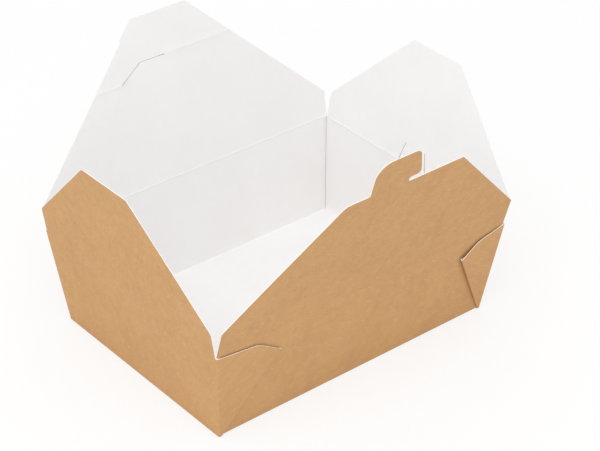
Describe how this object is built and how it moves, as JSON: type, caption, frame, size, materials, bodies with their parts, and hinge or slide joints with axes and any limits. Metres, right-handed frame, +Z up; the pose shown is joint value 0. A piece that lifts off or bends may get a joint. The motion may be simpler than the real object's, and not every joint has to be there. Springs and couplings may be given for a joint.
{
  "type": "takeaway box",
  "caption": "Folded paperboard takeaway box, open, with leaning walls, folded corner gussets, plain end flaps, a slit back flap and a front flap with a hooked locking tongue.",
  "frame": {"origin": "centre of the underside of the base panel, on the surface that the box stands on", "axes": "+Z up, +X along the box's length towards the end flap with the two slits, -Y towards the front flap with the hooked tongue"},
  "size_m": [0.2406, 0.2051, 0.1672],
  "materials": {
    "kraft_board": "matt"
  },
  "bodies": {
    "tray": {"tray": "kraft_board"},
    "front_flap": {"front_flap": "kraft_board"},
    "back_flap": {"back_flap": "kraft_board"},
    "left_flap": {"left_flap": "kraft_board"},
    "right_flap": {"right_flap": "kraft_board"}
  },
  "joints": [
    {"name": "front_flap_fold", "type": "hinge", "parent": "tray", "child": "front_flap", "pos_m": [0, -0.08011, 0.0634], "axis": [-1, 0, 0], "range_deg": [-94, 106]},
    {"name": "back_flap_fold", "type": "hinge", "parent": "tray", "child": "back_flap", "pos_m": [0, 0.08001, 0.0627], "axis": [1, 0, 0], "range_deg": [-101, 99]},
    {"name": "left_flap_fold", "type": "hinge", "parent": "tray", "child": "left_flap", "pos_m": [-0.10575, 0, 0.062], "axis": [0, 1, 0], "range_deg": [-101, 99]},
    {"name": "right_flap_fold", "type": "hinge", "parent": "tray", "child": "right_flap", "pos_m": [0.10575, 0, 0.062], "axis": [0, -1, 0], "range_deg": [-97, 103]}
  ]
}
